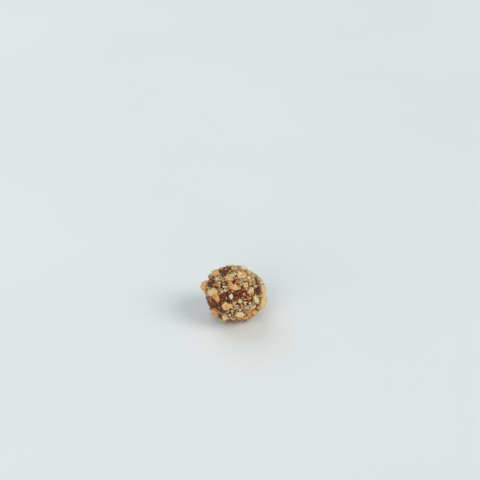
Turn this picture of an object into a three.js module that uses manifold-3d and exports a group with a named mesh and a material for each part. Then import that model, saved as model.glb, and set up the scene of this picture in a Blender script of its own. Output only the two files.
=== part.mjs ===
// Energy ball: a ball of dark date and cocoa paste, rolled by hand and coated with chopped roasted nuts.
// The nut pieces are pressed into the sticky paste and lift with it, so the ball is one solid.
// Millimetres, +Z up. The origin is the middle of the flat spot that the ball rests on, and -Y is the front.

import * as THREE from "three";
import { ConvexGeometry } from "three/addons/geometries/ConvexGeometry.js";
import { mergeVertices } from "three/addons/utils/BufferGeometryUtils.js";
import Module from "manifold-3d";

// Driving dimensions of the paste, before the nuts
const PASTE_WIDTH = 34.6;
const PASTE_DEPTH = 34.0;
const PASTE_HEIGHT = 32.2;
const PASTE_DETAIL = 8; // splits of each side of the icosahedron that the paste is shaped from
const SETTLED = 1.6; // how far the soft underside has flattened where it rests

// Hand-rolled lumps and dents, spread evenly over the paste
const LUMPS = 26;
const LUMP_HEIGHT = 0.55;
const LUMP_REACH = 0.36; // radians from a lump's top to where it fades
const LUMP_SEED = 4021;

// The front is laid out as an eye sees it that looks down on it at this angle
const EYE_ELEVATION = 35.4;

// Broad bulges and flats that give the ball its outline from the front: at is millimetres right of and above
// the ball's middle as the eye sees it, and rise is negative for a flat
const BULGES = [
  { at: [-4.5, 16.8], rise: 0.5 },
  { at: [-9, 15.5], rise: -0.3 },
  { at: [-13, 11], rise: 0.4 },
  { at: [14, 11], rise: 0.2 },
  { at: [13, -11], rise: 0.2 },
  { at: [-15, -6], rise: -0.8 },
  { at: [2, -16.5], rise: -0.7 },
];
const BULGE_REACH = 0.45; // radians from a bulge's top to where it fades

// The large nut pieces of the front, one by one. at is millimetres right of and above the ball's middle as the
// eye sees it. size is the length and width of the outline that the eye sees, and the thickness. turn is
// degrees anticlockwise, and lift is how far the piece's middle stands out of the paste.
const FRONT_PIECES = [
  { at: [-17.0, 4.6], size: [8.0, 5.2, 3.2], sides: 5, turn: 66, lift: 0.4 },
  { at: [-17.0, 1.2], size: [3.6, 3.0, 2.4], sides: 5, turn: 95, lift: -0.1 },
  { at: [-10.8, 12.4], size: [5.8, 4.8, 2.6], sides: 5, turn: 20, lift: 0.2 },
  { at: [-12.7, 1.4], size: [6.8, 5.6, 2.8], sides: 6, turn: 10, lift: 0.3 },
  { at: [-10.6, -1.9], size: [6.4, 4.8, 2.6], sides: 3, turn: -60, lift: 0.2 },
  { at: [-11.0, 5.8], size: [2.9, 2.3, 1.9], sides: 4, turn: 0, lift: 0.1 },
  { at: [-9.2, 6.8], size: [2.9, 2.8, 1.9], sides: 4, turn: 40, lift: 0.1 },
  { at: [-10.0, 9.4], size: [3.4, 2.9, 2.0], sides: 5, turn: 10, lift: 0.1 },
  { at: [-14.2, 10.0], size: [3.2, 2.6, 2.2], sides: 5, turn: -20, lift: 0.1 },
  { at: [-3.4, 9.8], size: [7.6, 2.8, 2.2], sides: 5, turn: -14, lift: 0.1 },
  { at: [-0.8, 12.1], size: [6.4, 3.0, 2.2], sides: 5, turn: 12, lift: 0.1 },
  { at: [4.8, 11.9], size: [7.0, 5.0, 2.6], sides: 6, turn: -6, lift: 0.2 },
  { at: [-2.4, 6.9], size: [4.0, 3.4, 2.2], sides: 4, turn: 20, lift: 0.1 },
  { at: [0.1, 4.3], size: [8.6, 4.2, 2.4], sides: 6, turn: -8, lift: 0.2 },
  { at: [2.8, 8.0], size: [4.6, 3.1, 2.2], sides: 5, turn: -5, lift: 0.1 },
  { at: [6.9, 5.6], size: [4.2, 4.4, 2.2], sides: 5, turn: 15, lift: 0.1 },
  { at: [9.9, 1.7], size: [6.4, 4.4, 2.4], sides: 3, turn: 88, lift: 0.1 },
  { at: [6.0, -0.1], size: [3.2, 2.7, 1.9], sides: 4, turn: -10, lift: 0.1 },
  { at: [8.0, -2.4], size: [5.4, 1.2, 1.4], sides: 4, turn: -66, lift: 0.1 },
  { at: [12.4, -3.0], size: [6.6, 3.4, 2.2], sides: 4, turn: -62, lift: 0.2 },
  { at: [16.2, -4.6], size: [11.2, 5.0, 3.0], sides: 6, turn: 82, lift: 0.5 },
  { at: [16.4, 2.2], size: [8.4, 4.0, 2.6], sides: 6, turn: 96, lift: 0.1 },
  { at: [16.6, 5.9], size: [3.0, 2.4, 2.2], sides: 4, turn: 70, lift: 0.5 },
  { at: [14.4, 4.9], size: [2.5, 1.7, 1.7], sides: 4, turn: -10, lift: 0.1 },
  { at: [-1.9, -1.4], size: [4.3, 3.0, 2.0], sides: 4, turn: 80, lift: 0.1 },
  { at: [-4.8, -6.9], size: [6.2, 5.6, 2.6], sides: 5, turn: 25, lift: 0.3 },
  { at: [-2.5, -6.7], size: [4.6, 3.8, 2.2], sides: 4, turn: -20, lift: 0.2 },
  { at: [3.7, -3.9], size: [3.8, 2.7, 2.0], sides: 4, turn: 80, lift: 0.1 },
  { at: [6.2, -4.9], size: [3.4, 1.3, 1.4], sides: 4, turn: 4, lift: 0.1 },
  { at: [4.2, -6.4], size: [3.2, 1.5, 1.5], sides: 4, turn: -62, lift: 0.1 },
  { at: [11.0, -7.0], size: [4.6, 3.0, 2.0], sides: 5, turn: 18, lift: 0.1 },
  { at: [13.8, -7.8], size: [3.2, 2.9, 2.0], sides: 5, turn: 30, lift: 0.3 },
  { at: [11.5, -10.3], size: [4.4, 3.8, 2.2], sides: 5, turn: 40, lift: 0.1 },
  { at: [9.0, -12.2], size: [3.8, 3.0, 2.0], sides: 5, turn: 10, lift: 0.1 },
  { at: [-11.7, -10.9], size: [6.6, 6.2, 2.6], sides: 6, turn: 75, lift: -0.15 },
  { at: [-5.5, -13.4], size: [5.8, 4.4, 2.4], sides: 5, turn: 85, lift: -0.2 },
  { at: [3.4, -11.8], size: [6.6, 4.0, 2.4], sides: 6, turn: 0, lift: 0.1 },
  { at: [3.0, -14.6], size: [3.8, 2.2, 2.0], sides: 4, turn: 0, lift: 0.0 },
  { at: [6.8, -13.9], size: [5.4, 3.2, 2.2], sides: 5, turn: 15, lift: -0.2 },
  { at: [-1.0, -14.1], size: [3.8, 2.8, 2.0], sides: 5, turn: -15, lift: -0.5 },
  { at: [-14.8, -3.8], size: [4.2, 1.3, 1.3], sides: 4, turn: -50, lift: 0.0 },
  { at: [0.0, 15.7], size: [4.4, 3.2, 2.2], sides: 5, turn: 10, lift: 0.2 },
  { at: [5.6, 15.7], size: [4.6, 3.2, 2.2], sides: 5, turn: -15, lift: 0.3 },
  { at: [8.9, 13.2], size: [4.0, 3.0, 2.0], sides: 5, turn: -35, lift: 0.3 },
  { at: [10.8, 11.2], size: [3.4, 2.9, 2.0], sides: 4, turn: 20, lift: 0.1 },
  { at: [8.8, 9.9], size: [3.3, 2.9, 2.0], sides: 4, turn: 0, lift: 0.1 },
  { at: [11.0, 8.7], size: [2.9, 2.5, 1.8], sides: 4, turn: 30, lift: 0.1 },
  { at: [13.5, 11.1], size: [3.8, 3.0, 2.0], sides: 5, turn: -30, lift: 0.0 },
  { at: [15.8, 8.9], size: [3.6, 3.0, 2.2], sides: 5, turn: -60, lift: 0.4 },
  { at: [14.2, -10.2], size: [3.6, 3.0, 2.0], sides: 5, turn: 45, lift: 0.0 },
  { at: [-14.4, -9.3], size: [2.0, 1.6, 1.6], sides: 4, turn: 60, lift: -0.1 },
  { at: [-7.4, 1.5], size: [2.3, 1.9, 1.6], sides: 4, turn: 0, lift: 0.1 },
  { at: [-5.2, 2.0], size: [2.3, 1.7, 1.6], sides: 4, turn: 40, lift: 0.1 },
  { at: [-6.3, 4.6], size: [2.1, 1.6, 1.5], sides: 4, turn: -30, lift: 0.1 },
  { at: [-13.8, 11.8], size: [2.8, 2.4, 2.0], sides: 4, turn: 40, lift: 0.3 },
];
const FRONT_SEED = 381;

// Places on the front where the paste stays bare of small pieces: [right, above] of the middle, and radius
const BARE_PASTE = [
  { at: [-17.2, -2.0], radius: 5.0 },
  { at: [-14.8, -8.0], radius: 4.0 },
  { at: [-11.5, -6.0], radius: 4.6 },
  { at: [-6.0, -2.2], radius: 3.4 },
  { at: [-6.0, 14.2], radius: 3.4 },
  { at: [-14.2, 6.8], radius: 2.4 },
  { at: [1.2, -0.8], radius: 3.0 },
  { at: [13.4, 1.8], radius: 2.2 },
];

// The same where the eye doesn't see: tries is how many even places are looked at, and facing the cosine to the
// eye's direction under which one is kept
const HIDDEN_BARE = { tries: 18, radius: [2.4, 4.8], facing: -0.1 };
const HIDDEN_BARE_SEED = 733;

// The coat where no front piece is listed, the largest pieces first. tries is how many even places are looked
// at, and length is the range of the pieces' lengths.
const COAT = [
  { tries: 90, length: [5.0, 8.4], sides: 5, onFront: false },
  { tries: 240, length: [3.4, 5.0], sides: 4, onFront: false },
  { tries: 420, length: [2.1, 2.9], sides: 3, onFront: true },
];
const COAT_SEED = 1383;
const COAT_CLEARANCE = 0.8; // share of two pieces' mean length that their middles keep apart
const COAT_WIDTH = [0.62, 0.9]; // share of the length
const COAT_THICKNESS = [0.36, 0.52]; // share of the length
const COAT_LIFT = [-0.28, 0.0]; // share of the thickness
const FRONT_FACING = 0.2; // cosine to the eye's direction past which the paste counts as the front
const STEEPEST_FACING = 0.75; // the same cosine past which a front piece is drawn out no further

// A nut piece has three rings of corners: height is a share of its thickness, and reach of its half size
const RINGS = [
  { height: -0.5, reach: [0.6, 0.8] },
  { height: 0.0, reach: [0.88, 1.0] },
  { height: 0.5, reach: [0.55, 0.9] },
];
const CORNER_SLIP = 0.28; // share of a corner's sector that it slips round its ring
const CORNER_RISE = 0.1; // share of the thickness that a corner rises or drops

// Mean colour of the brown paste and the cream and golden nuts
const NUT_COATED_PASTE = new THREE.MeshStandardMaterial({ color: 0x98754f, roughness: 0.6, metalness: 0 });

// A seeded stream of even draws: Lehmer's generator, exact in double precision
const LEHMER_FACTOR = 48271;
const LEHMER_MODULUS = 2147483647;

function seededDraws(seed) {
  let state = seed;
  return (low, high) => {
    state = (state * LEHMER_FACTOR) % LEHMER_MODULUS;
    return low + ((high - low) * state) / LEHMER_MODULUS;
  };
}

// The direction of place number index out of count, spread evenly over a sphere on a golden spiral
const GOLDEN_ANGLE = Math.PI * (3 - Math.sqrt(5));

function evenDirection(index, count) {
  const z = 1 - (2 * index + 1) / count;
  const ring = Math.sqrt(1 - z * z);
  const angle = index * GOLDEN_ANGLE;
  return new THREE.Vector3(ring * Math.cos(angle), ring * Math.sin(angle), z);
}

// The eye's own axes: right, up, and towards the eye
const elevation = THREE.MathUtils.degToRad(EYE_ELEVATION);
const eyeRight = new THREE.Vector3(1, 0, 0);
const eyeUp = new THREE.Vector3(0, Math.sin(elevation), Math.cos(elevation));
const eyeToward = new THREE.Vector3(0, -Math.cos(elevation), Math.sin(elevation));

// The direction from the ball's middle to the place that the eye sees at [right, above], taking the paste as
// a sphere. A place beyond its outline is brought in to the outline.
function seenDirection([right, above]) {
  const depth = Math.sqrt(Math.max(0, (PASTE_WIDTH / 2) ** 2 - right ** 2 - above ** 2));
  return new THREE.Vector3()
    .addScaledVector(eyeRight, right)
    .addScaledVector(eyeUp, above)
    .addScaledVector(eyeToward, depth)
    .normalize();
}

// Everything that raises or sinks the paste, each with a direction, a height and a reach
function rollLumps() {
  const draw = seededDraws(LUMP_SEED);
  const even = Array.from({ length: LUMPS }, (_, index) => ({
    direction: evenDirection(index, LUMPS),
    height: draw(-LUMP_HEIGHT, LUMP_HEIGHT),
    reach: LUMP_REACH,
  }));
  const broad = BULGES.map(({ at, rise }) => ({
    direction: seenDirection(at),
    height: rise,
    reach: BULGE_REACH,
  }));
  return [...even, ...broad];
}

const lumps = rollLumps();

// Distance from the ball's middle to the paste's surface along a unit direction
function pasteRadius(direction) {
  const { x, y, z } = direction;
  const plain = 1 / Math.hypot(x / (PASTE_WIDTH / 2), y / (PASTE_DEPTH / 2), z / (PASTE_HEIGHT / 2));
  const rise = lumps.reduce((sum, lump) => {
    const angle = direction.angleTo(lump.direction);
    return sum + lump.height * Math.exp(-((angle / lump.reach) ** 2));
  }, 0);
  return plain + rise;
}

// Corners of a chopped nut piece about its own middle, longest along X and thickest along Z
function nutCorners([length, width, thickness], sides, draw) {
  return RINGS.flatMap(({ height, reach }) =>
    Array.from({ length: sides }, (_, side) => {
      const angle = ((side + draw(-CORNER_SLIP, CORNER_SLIP)) / sides) * 2 * Math.PI;
      const share = draw(...reach);
      const rise = height + draw(-CORNER_RISE, CORNER_RISE);
      const x = (length / 2) * share * Math.cos(angle);
      const y = (width / 2) * share * Math.sin(angle);
      return new THREE.Vector3(x, y, thickness * rise);
    }),
  );
}

// A nut piece pressed into the paste: its middle is lift above the paste along direction, its length and
// width follow across and up, and its flat side faces out
function nutPiece({ direction, across, up, size, sides, lift }, draw) {
  const place = new THREE.Matrix4()
    .makeBasis(across, up, direction)
    .setPosition(direction.clone().multiplyScalar(pasteRadius(direction) + lift));
  return new ConvexGeometry(nutCorners(size, sides, draw)).applyMatrix4(place);
}

// A step across the eye's view, laid onto the paste that faces along direction
function laidOnPaste(step, direction) {
  const facing = Math.max(STEEPEST_FACING, direction.dot(eyeToward));
  return step.clone().addScaledVector(eyeToward, -step.dot(direction) / facing);
}

// The listed pieces of the front
function frontPieces() {
  const draw = seededDraws(FRONT_SEED);
  return FRONT_PIECES.map(({ at, size, sides, turn, lift }) => {
    const direction = seenDirection(at);
    const angle = THREE.MathUtils.degToRad(turn);
    const seenAcross = eyeRight.clone().applyAxisAngle(eyeToward, angle);
    const seenUp = eyeUp.clone().applyAxisAngle(eyeToward, angle);
    const across = laidOnPaste(seenAcross, direction);
    const up = laidOnPaste(seenUp, direction);
    const shape = nutPiece({ direction, across, up, size, sides, lift }, draw);
    return { direction, length: size[0], shape };
  });
}

// Every place that stays bare, on the front and out of sight
function barePlaces() {
  const draw = seededDraws(HIDDEN_BARE_SEED);
  const front = BARE_PASTE.map(({ at, radius }) => ({ direction: seenDirection(at), radius }));
  const even = Array.from({ length: HIDDEN_BARE.tries }, (_, index) => ({
    direction: evenDirection(index, HIDDEN_BARE.tries),
    radius: draw(...HIDDEN_BARE.radius),
  }));
  const hidden = even.filter(({ direction }) => direction.dot(eyeToward) < HIDDEN_BARE.facing);
  return [...front, ...hidden];
}

const bare = barePlaces();

// True where a direction lies in one of the places that stay bare
function staysBare(direction) {
  return bare.some((patch) => direction.angleTo(patch.direction) * (PASTE_WIDTH / 2) < patch.radius);
}

// The rest of the coat: even places, largest pieces first, each kept only if it is clear of those before it
function coatPieces(placed) {
  const draw = seededDraws(COAT_SEED);
  for (const { tries, length: range, sides, onFront } of COAT) {
    for (let index = 0; index < tries; index++) {
      const direction = evenDirection(index, tries);
      const length = draw(...range);
      const size = [length, length * draw(...COAT_WIDTH), length * draw(...COAT_THICKNESS)];
      const lift = size[2] * draw(...COAT_LIFT);
      const turn = draw(-Math.PI, Math.PI);
      const facesEye = direction.dot(eyeToward) > FRONT_FACING;
      const crowded = placed.some((other) => {
        const apart = direction.angleTo(other.direction) * (PASTE_WIDTH / 2);
        return apart < (COAT_CLEARANCE * (length + other.length)) / 2;
      });
      if (crowded || staysBare(direction) || (facesEye && !onFront)) continue;
      const level = new THREE.Vector3(-direction.y, direction.x, 0).normalize();
      const across = level.applyAxisAngle(direction, turn);
      const up = direction.clone().cross(across);
      const shape = nutPiece({ direction, across, up, size, sides, lift }, draw);
      placed.push({ direction, length, shape });
    }
  }
  return placed;
}

// The lumpy paste about the ball's middle
function paste() {
  const shape = new THREE.IcosahedronGeometry(1, PASTE_DETAIL);
  const position = shape.getAttribute("position");
  const point = new THREE.Vector3();
  for (let index = 0; index < position.count; index++) {
    point.fromBufferAttribute(position, index).normalize();
    point.multiplyScalar(pasteRadius(point));
    position.setXYZ(index, point.x, point.y, point.z);
  }
  return shape;
}

const wasm = await Module();
wasm.setup();

const MERGE_WITHIN = 1e-4;

// A closed geometry as a solid that can be joined and cut
function solidOf(geometry) {
  const bare = geometry.clone();
  bare.deleteAttribute("normal");
  bare.deleteAttribute("uv");
  const merged = mergeVertices(bare, MERGE_WITHIN);
  return new wasm.Manifold(
    new wasm.Mesh({
      numProp: 3,
      vertProperties: new Float32Array(merged.getAttribute("position").array),
      triVerts: new Uint32Array(merged.index.array),
    }),
  );
}

// A solid's surface as a geometry that can be shown
function geometryOf(solid) {
  const { vertProperties, triVerts } = solid.getMesh();
  const geometry = new THREE.BufferGeometry();
  geometry.setAttribute("position", new THREE.BufferAttribute(vertProperties, 3));
  geometry.setIndex(new THREE.BufferAttribute(triVerts, 1));
  geometry.computeVertexNormals();
  return geometry;
}

// Height of the ball's middle above the plane that it rests on, and everything below that plane
const middleHeight = PASTE_HEIGHT / 2 - SETTLED;

function underTheTable() {
  const side = 2 * PASTE_WIDTH;
  return new THREE.BoxGeometry(side, side, side).translate(0, 0, -middleHeight - side / 2);
}

// Paste and nuts in one, flat underneath. Joining can shut in small hollows, which come back as bodies of
// their own, so the ball is the largest body with those left out.
function energyBall() {
  const pieces = coatPieces(frontPieces());
  const coated = pieces.reduce((ball, piece) => ball.add(solidOf(piece.shape)), solidOf(paste()));
  const bodies = coated.subtract(solidOf(underTheTable())).decompose();
  const ball = bodies.reduce((largest, body) => (body.volume() > largest.volume() ? body : largest));
  const mesh = new THREE.Mesh(geometryOf(ball), NUT_COATED_PASTE);
  mesh.name = "energy_ball";
  mesh.position.z = middleHeight;
  return mesh;
}

const group = new THREE.Group();
group.add(energyBall());

export default group;
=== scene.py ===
# %% [markdown]
# An energy ball, made in Blender.
# The real one is a sweet: dates and cocoa kneaded to a sticky paste, rolled to a ball in the palms, then
# rolled again in chopped roasted nuts. Three things make its look: dark moist paste, pale angular nut
# pieces pressed into it, and a dust of crumbs between them. One lump with nuts painted on would look flat
# as soon as it turns, so each of the three gets its own mesh and its own finish.
# The first lines load the model that everything here has to fit.

# %% Load the frame
import math

import bmesh
import bpy
import numpy as np
from mathutils import Matrix, Vector, noise
from mathutils.bvhtree import BVHTree


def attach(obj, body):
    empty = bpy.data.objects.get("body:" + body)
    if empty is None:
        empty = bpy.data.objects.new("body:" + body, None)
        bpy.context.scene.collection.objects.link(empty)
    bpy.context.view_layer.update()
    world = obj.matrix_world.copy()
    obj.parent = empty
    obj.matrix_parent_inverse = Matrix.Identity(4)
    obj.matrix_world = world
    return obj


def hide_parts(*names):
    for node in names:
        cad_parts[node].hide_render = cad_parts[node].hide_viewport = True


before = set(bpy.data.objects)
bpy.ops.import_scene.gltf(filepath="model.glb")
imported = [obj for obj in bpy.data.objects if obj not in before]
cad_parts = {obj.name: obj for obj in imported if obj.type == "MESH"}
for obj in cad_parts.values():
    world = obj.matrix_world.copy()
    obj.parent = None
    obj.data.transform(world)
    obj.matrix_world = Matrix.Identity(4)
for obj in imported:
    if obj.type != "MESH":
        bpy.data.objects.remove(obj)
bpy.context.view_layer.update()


# %% [markdown]
# Chance has to fall the same way on every run, and the nut pieces have to lie where the solid has them. A
# small generator of seeded draws does both: it multiplies, keeps the remainder, and so gives the same
# numbers in any language. Blender's own vector noise takes its seed from the clock, so it gets a fixed
# one too. Even places on a sphere come from a golden spiral, the rule by which a sunflower sets its
# seeds.

# %% Seeded draws and even places
DRAW_FACTOR, DRAW_LIMIT = 48271, 2147483647
NOISE_SEED, SAMPLE_SEED = 11, 7


def seeded_draws(seed):
    state = seed

    def draw(low, high):
        nonlocal state
        state = state * DRAW_FACTOR % DRAW_LIMIT
        return low + (high - low) * state / DRAW_LIMIT

    return draw


def mostly_low(low, span, power, draw):
    return low + span * draw(0, 1) ** power


def even_direction(index, count):
    z = 1 - (2 * index + 1) / count
    ring = math.sqrt(1 - z * z)
    angle = index * math.pi * (3 - math.sqrt(5))
    return Vector((ring * math.cos(angle), ring * math.sin(angle), z))


noise.seed_set(NOISE_SEED)
draw = seeded_draws(SAMPLE_SEED)
print("three draws:", [round(draw(0, 1), 3) for _ in range(3)])

# %% [markdown]
# The front of the ball is laid out in listed places: a place is so many millimetres right of and above the
# ball's middle, as seen by an eye that looks down on it. Three axes turn such a place into a direction from
# the ball's middle. Sizes stay in millimetres about that middle while the pieces are shaped, because whole
# millimetres are easy to think in, and one matrix at the end moves each piece into the frame, which is in
# metres.

# %% Sizes and the eye's axes
PASTE_WIDTH, PASTE_DEPTH, PASTE_HEIGHT = 34.6, 34.0, 32.2
SETTLED = 1.6
MIDDLE_HEIGHT = PASTE_HEIGHT / 2 - SETTLED
TO_FRAME = Matrix.Scale(0.001, 4) @ Matrix.Translation((0, 0, MIDDLE_HEIGHT))

EYE_ELEVATION = math.radians(35.4)
EYE_RIGHT = Vector((1, 0, 0))
EYE_UP = Vector((0, math.sin(EYE_ELEVATION), math.cos(EYE_ELEVATION)))
EYE_TOWARD = Vector((0, -math.cos(EYE_ELEVATION), math.sin(EYE_ELEVATION)))


def seen_direction(right, above):
    depth = math.sqrt(max(0, (PASTE_WIDTH / 2) ** 2 - right**2 - above**2))
    return (EYE_RIGHT * right + EYE_UP * above + EYE_TOWARD * depth).normalized()


def seen_places(listed):
    return [(seen_direction(*at), *rest) for at, *rest in listed]


def apart(one, other):
    return math.acos(max(-1, min(1, one.dot(other)))) * PASTE_WIDTH / 2


print("the ball's middle is", round(MIDDLE_HEIGHT, 1), "mm above the table")

# %% [markdown]
# Palms never roll a true sphere. The paste starts from an ellipsoid, a little squat from its own weight,
# and takes broad lumps and dents: an even set with heights drawn by chance, and a few listed ones that
# give the outline its full shoulders and its flatter lower left. They could be sculpted by hand, but a
# rule can be asked for the paste's radius in any direction, and every later step needs that. A smooth
# bell curve fades each lump out, so no edge shows where it ends.

# %% The paste's rolled form
LUMPS, LUMP_HEIGHT, LUMP_REACH, LUMP_SEED = 26, 0.55, 0.36, 4021
BULGES = [
    # right and above, height
    ((-4.5, 16.8), 0.5), ((-9, 15.5), -0.3), ((-13, 11), 0.4), ((14, 11), 0.2),
    ((13, -11), 0.2), ((-15, -6), -0.8), ((2, -16.5), -0.7),
]
BULGE_REACH = 0.45

draw = seeded_draws(LUMP_SEED)
rolled = [(even_direction(i, LUMPS), draw(-LUMP_HEIGHT, LUMP_HEIGHT), LUMP_REACH) for i in range(LUMPS)]
rolled += [(place, rise, BULGE_REACH) for place, rise in seen_places(BULGES)]


def paste_radius(directions):
    d = np.asarray(directions, float)
    half = np.array([PASTE_WIDTH, PASTE_DEPTH, PASTE_HEIGHT]) / 2
    radius = 1 / np.linalg.norm(d / half, axis=-1)
    for top, height, reach in rolled:
        angle = np.arccos(np.clip(d @ np.array(top), -1, 1))
        radius = radius + height * np.exp(-((angle / reach) ** 2))
    return radius


ways = {"up": (0, 0, 1), "right": (1, 0, 0), "front": (0, -1, 0)}
print("paste radius in mm:", {way: round(float(paste_radius(d)), 1) for way, d in ways.items()})

# %% [markdown]
# The largest nut pieces decide how the front looks, so they are listed one by one, as the photograph
# shows them: where each lies, how large it looks, how many sides it has, how it turns, how far it lifts
# off the paste, how roasted it is and how rough its break is. Chance could place them too, but then this
# would be another ball of the same kind.

# %% The listed nut pieces of the front
FRONT_PIECES = [
    # right, above, length, width, thickness, sides, turn, lift, roast, broken
    (-17.0, 4.6, 8.0, 5.2, 3.2, 5, 66, 0.4, 0.22, 0.35),
    (-17.0, 1.2, 3.6, 3.0, 2.4, 5, 95, -0.1, 0.5, 0.5),
    (-10.8, 12.4, 5.8, 4.8, 2.6, 5, 20, 0.2, 0.5, 0.8),
    (-12.7, 1.4, 6.8, 5.6, 2.8, 6, 10, 0.3, 0.22, 0.8),
    (-10.6, -1.9, 6.4, 4.8, 2.6, 3, -60, 0.2, 0.58, 0.8),
    (-11.0, 5.8, 2.9, 2.3, 1.9, 4, 0, 0.1, 0.72, 0.8),
    (-9.2, 6.8, 2.9, 2.8, 1.9, 4, 40, 0.1, 0.3, 0.8),
    (-10.0, 9.4, 3.4, 2.9, 2.0, 5, 10, 0.1, 0.34, 0.8),
    (-14.2, 10.0, 3.2, 2.6, 2.2, 5, -20, 0.1, 0.4, 0.8),
    (-3.4, 9.8, 7.6, 2.8, 2.2, 5, -14, 0.1, 0.36, 0.8),
    (-0.8, 12.1, 6.4, 3.0, 2.2, 5, 12, 0.1, 0.26, 0.8),
    (4.8, 11.9, 7.0, 5.0, 2.6, 6, -6, 0.2, 0.2, 0.8),
    (-2.4, 6.9, 4.0, 3.4, 2.2, 4, 20, 0.1, 0.72, 0.8),
    (0.1, 4.3, 8.6, 4.2, 2.4, 6, -8, 0.2, 0.34, 0.8),
    (2.8, 8.0, 4.6, 3.1, 2.2, 5, -5, 0.1, 0.6, 0.8),
    (6.9, 5.6, 4.2, 4.4, 2.2, 5, 15, 0.1, 0.16, 0.8),
    (9.9, 1.7, 6.4, 4.4, 2.4, 3, 88, 0.1, 0.2, 0.8),
    (6.0, -0.1, 3.2, 2.7, 1.9, 4, -10, 0.1, 0.95, 0.8),
    (8.0, -2.4, 5.4, 1.2, 1.4, 4, -66, 0.1, 0.9, 0.8),
    (12.4, -3.0, 6.6, 3.4, 2.2, 4, -62, 0.2, 0.12, 0.8),
    (16.2, -4.6, 11.2, 5.0, 3.0, 6, 82, 0.5, 0.3, 0.35),
    (16.4, 2.2, 8.4, 4.0, 2.6, 6, 96, 0.1, 0.3, 0.35),
    (16.6, 5.9, 3.0, 2.4, 2.2, 4, 70, 0.5, 0.42, 0.8),
    (14.4, 4.9, 2.5, 1.7, 1.7, 4, -10, 0.1, 0.85, 0.8),
    (-1.9, -1.4, 4.3, 3.0, 2.0, 4, 80, 0.1, 0.06, 0.8),
    (-4.8, -6.9, 6.2, 5.6, 2.6, 5, 25, 0.3, 0.12, 0.8),
    (-2.5, -6.7, 4.6, 3.8, 2.2, 4, -20, 0.2, 0.34, 0.8),
    (3.7, -3.9, 3.8, 2.7, 2.0, 4, 80, 0.1, 0.06, 0.8),
    (6.2, -4.9, 3.4, 1.3, 1.4, 4, 4, 0.1, 0.0, 0.8),
    (4.2, -6.4, 3.2, 1.5, 1.5, 4, -62, 0.1, 0.85, 0.8),
    (11.0, -7.0, 4.6, 3.0, 2.0, 5, 18, 0.1, 0.06, 0.8),
    (13.8, -7.8, 3.2, 2.9, 2.0, 5, 30, 0.3, 0.5, 0.8),
    (11.5, -10.3, 4.4, 3.8, 2.2, 5, 40, 0.1, 0.52, 0.8),
    (9.0, -12.2, 3.8, 3.0, 2.0, 5, 10, 0.1, 0.68, 0.8),
    (-11.7, -10.9, 6.6, 6.2, 2.6, 6, 75, -0.15, 0.3, 1.2),
    (-5.5, -13.4, 5.8, 4.4, 2.4, 5, 85, -0.2, 0.16, 0.8),
    (3.4, -11.8, 6.6, 4.0, 2.4, 6, 0, 0.1, 0.22, 0.8),
    (3.0, -14.6, 3.8, 2.2, 2.0, 4, 0, 0.0, 0.9, 0.8),
    (6.8, -13.9, 5.4, 3.2, 2.2, 5, 15, -0.2, 0.5, 0.8),
    (-1.0, -14.1, 3.8, 2.8, 2.0, 5, -15, -0.5, 0.36, 0.8),
    (-14.8, -3.8, 4.2, 1.3, 1.3, 4, -50, 0.0, 0.5, 0.8),
    (0.0, 15.7, 4.4, 3.2, 2.2, 5, 10, 0.2, 0.22, 0.8),
    (5.6, 15.7, 4.6, 3.2, 2.2, 5, -15, 0.3, 0.06, 0.8),
    (8.9, 13.2, 4.0, 3.0, 2.0, 5, -35, 0.3, 0.22, 0.8),
    (10.8, 11.2, 3.4, 2.9, 2.0, 4, 20, 0.1, 0.16, 0.8),
    (8.8, 9.9, 3.3, 2.9, 2.0, 4, 0, 0.1, 0.16, 0.8),
    (11.0, 8.7, 2.9, 2.5, 1.8, 4, 30, 0.1, 0.2, 0.8),
    (13.5, 11.1, 3.8, 3.0, 2.0, 5, -30, 0.0, 0.06, 0.8),
    (15.8, 8.9, 3.6, 3.0, 2.2, 5, -60, 0.4, 0.22, 0.8),
    (14.2, -10.2, 3.6, 3.0, 2.0, 5, 45, 0.0, 0.22, 0.8),
    (-14.4, -9.3, 2.0, 1.6, 1.6, 4, 60, -0.1, 0.8, 0.8),
    (-7.4, 1.5, 2.3, 1.9, 1.6, 4, 0, 0.1, 0.1, 0.8),
    (-5.2, 2.0, 2.3, 1.7, 1.6, 4, 40, 0.1, 0.1, 0.8),
    (-6.3, 4.6, 2.1, 1.6, 1.5, 4, -30, 0.1, 0.1, 0.8),
    (-13.8, 11.8, 2.8, 2.4, 2.0, 4, 40, 0.3, 0.3, 0.8),
]
print(len(FRONT_PIECES), "nut pieces listed, the longest", max(piece[2] for piece in FRONT_PIECES), "mm")

# %% [markdown]
# Chopped nuts break into angular pieces with flat facets. Three rings of corners about a middle, each
# corner slipped and pulled in by chance, and later a convex hull round them all, give just such a piece,
# where a rounded cube would look like a pebble. A listed piece is drawn as the eye sees it and then
# tipped onto the paste below it, so it keeps its seen size on a slope. The tipping has a limit, because a
# piece near the outline would stretch without end.

# %% Lay the listed pieces on the paste
RINGS = [
    # height and reach, as shares of the piece
    (-0.5, (0.6, 0.8)), (0.0, (0.88, 1.0)), (0.5, (0.55, 0.9)),
]
CORNER_SLIP, CORNER_RISE = 0.28, 0.1
LEAST_FACING = 0.75
FRONT_SEED = 381


def nut_corners(size, sides, draw):
    length, width, thickness = size
    corners = []
    for height, reach in RINGS:
        for side in range(sides):
            angle = (side + draw(-CORNER_SLIP, CORNER_SLIP)) / sides * 2 * math.pi
            share = draw(*reach)
            rise = height + draw(-CORNER_RISE, CORNER_RISE)
            across, up = length / 2 * share * math.cos(angle), width / 2 * share * math.sin(angle)
            corners.append(Vector((across, up, thickness * rise)))
    return corners


def pressed_in(direction, across, up, size, sides, lift, draw):
    middle = direction * (float(paste_radius(direction)) + lift)
    axes = Matrix((across, up, direction)).transposed()
    return [middle + axes @ corner for corner in nut_corners(size, sides, draw)]


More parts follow.
